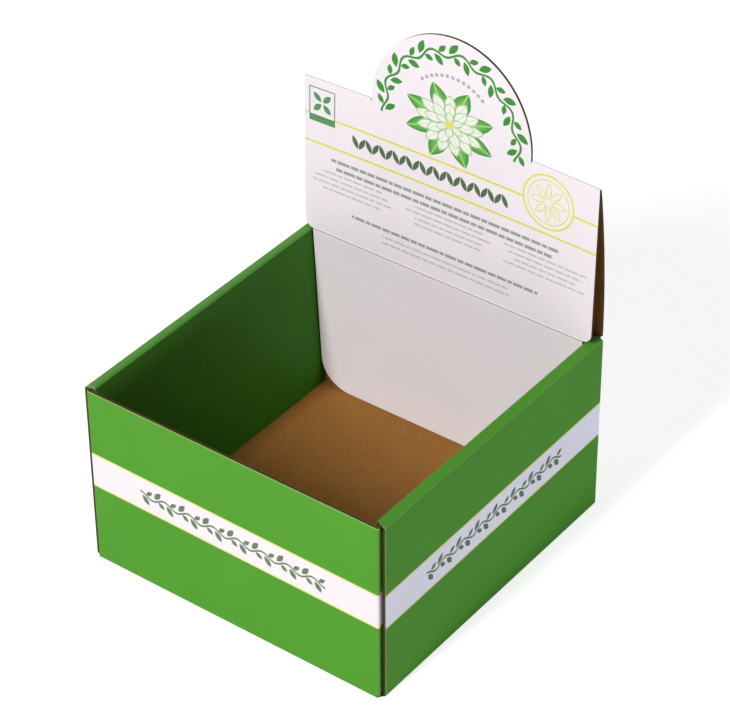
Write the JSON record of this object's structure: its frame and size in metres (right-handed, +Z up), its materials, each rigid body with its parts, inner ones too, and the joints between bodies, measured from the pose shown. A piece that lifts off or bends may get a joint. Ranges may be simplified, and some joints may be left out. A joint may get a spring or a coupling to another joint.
{
  "type": "cardboard display stand",
  "caption": "Open counter tray with rolled side walls and a fold-up header board with a half-round pop-up arch, folded from one sheet of printed fine-fluted board.",
  "frame": {"origin": "middle of the tray's underside, on the surface it stands on", "axes": "+X to the right as the shopper sees it, +Y to the back where the header stands, +Z up"},
  "size_m": [0.2, 0.206, 0.2725],
  "materials": {
    "printed_board": "fine-fluted board, printed in satin green and white on one side, plain brown on the other"
  },
  "bodies": {
    "root": {"folded_display_stand": "printed_board"}
  },
  "joints": []
}
